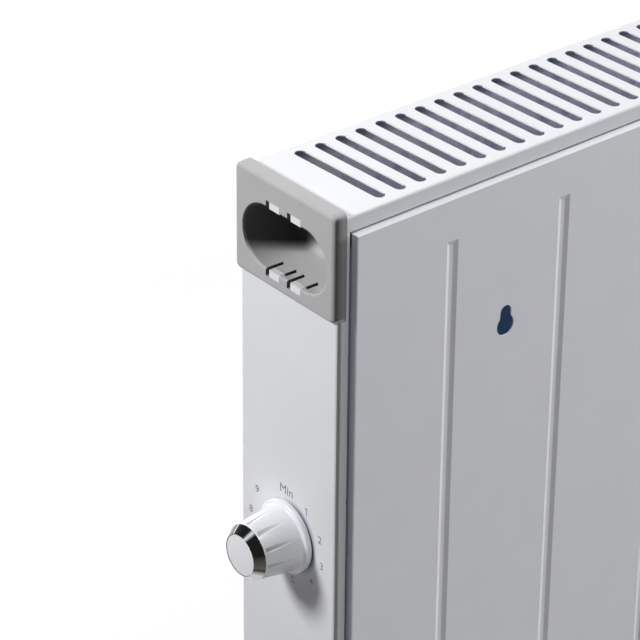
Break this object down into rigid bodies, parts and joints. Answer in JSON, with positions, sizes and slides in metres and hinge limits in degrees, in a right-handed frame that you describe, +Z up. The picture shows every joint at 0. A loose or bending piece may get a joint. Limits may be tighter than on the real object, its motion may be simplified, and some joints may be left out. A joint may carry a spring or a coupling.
{
  "type": "convector heater",
  "caption": "Free-standing panel convector heater: slotted top, ribbed rear panel with wall keyholes, recessed end handles, thermostat knob and splayed feet.",
  "frame": {"origin": "on the floor, under the middle of the whole heater, knob and handles included", "axes": "+X along the length towards the thermostat knob, +Y towards the wall behind the heater, +Z up"},
  "size_m": [0.7466, 0.21, 0.4349],
  "materials": {
    "white_paint": "satin powder coat",
    "grey_plastic": "fine matt grain",
    "white_plastic": "gloss",
    "chrome_trim": "polished",
    "plated_steel": "zinc plated",
    "aluminium": "mill",
    "ceramic_white": "fired ceramic",
    "dark_plastic": "matt",
    "terminal_plastic": "matt",
    "brass_contacts": "bright",
    "soft_rubber": "matt"
  },
  "bodies": {
    "heater": {"casing_wrapper": "white_paint", "rear_panel": "white_paint", "base_plate": "white_paint", "control_end_panel": "white_paint", "plain_end_panel": "white_paint", "control_end_frame": "white_paint", "plain_end_frame": "white_paint", "control_handle_cup": "grey_plastic", "plain_handle_cup": "grey_plastic", "control_foot": "grey_plastic", "plain_foot": "grey_plastic", "thermostat_bushing_plate": "plated_steel", "thermostat_screws": "plated_steel", "control_bulkhead": "plated_steel", "plain_bulkhead": "plated_steel", "element_rod": "plated_steel", "element_studs": "plated_steel", "heat_shield_rivets": "plated_steel", "cutout_screws": "plated_steel", "lead_clamp_screws": "plated_steel", "foot_screws": "plated_steel", "foot_nuts": "plated_steel", "base_screws": "plated_steel", "rear_panel_screws": "plated_steel", "end_panel_screws": "plated_steel", "end_frame_screws": "plated_steel", "bulkhead_screws": "plated_steel", "element_profile": "aluminium", "heat_shield": "aluminium", "element_bushes": "ceramic_white", "thermostat_housing": "dark_plastic", "thermal_cutout": "dark_plastic", "cable_gland": "dark_plastic", "gland_nut": "dark_plastic", "lead_clamp_base": "dark_plastic", "lead_clamp_strap": "dark_plastic", "terminal_block": "terminal_plastic", "thermostat_terminals": "brass_contacts", "cutout_terminals": "brass_contacts", "terminal_block_screws": "brass_contacts", "earth_terminal": "brass_contacts", "wiring": "soft_rubber", "wiring_grommets": "soft_rubber", "foot_pads": "soft_rubber"},
    "thermostat_dial": {"knob_body": "white_plastic", "knob_trim_ring": "chrome_trim", "knob_cap": "white_plastic", "knob_spring_clip": "plated_steel", "thermostat_shaft": "plated_steel"}
  },
  "joints": [
    {"name": "thermostat_knob", "type": "hinge", "parent": "heater", "child": "thermostat_dial", "pos_m": [0.34046, 0.00002, 0.226], "axis": [-0.9994, 0.0335, 0], "range_deg": [0, 300]}
  ]
}
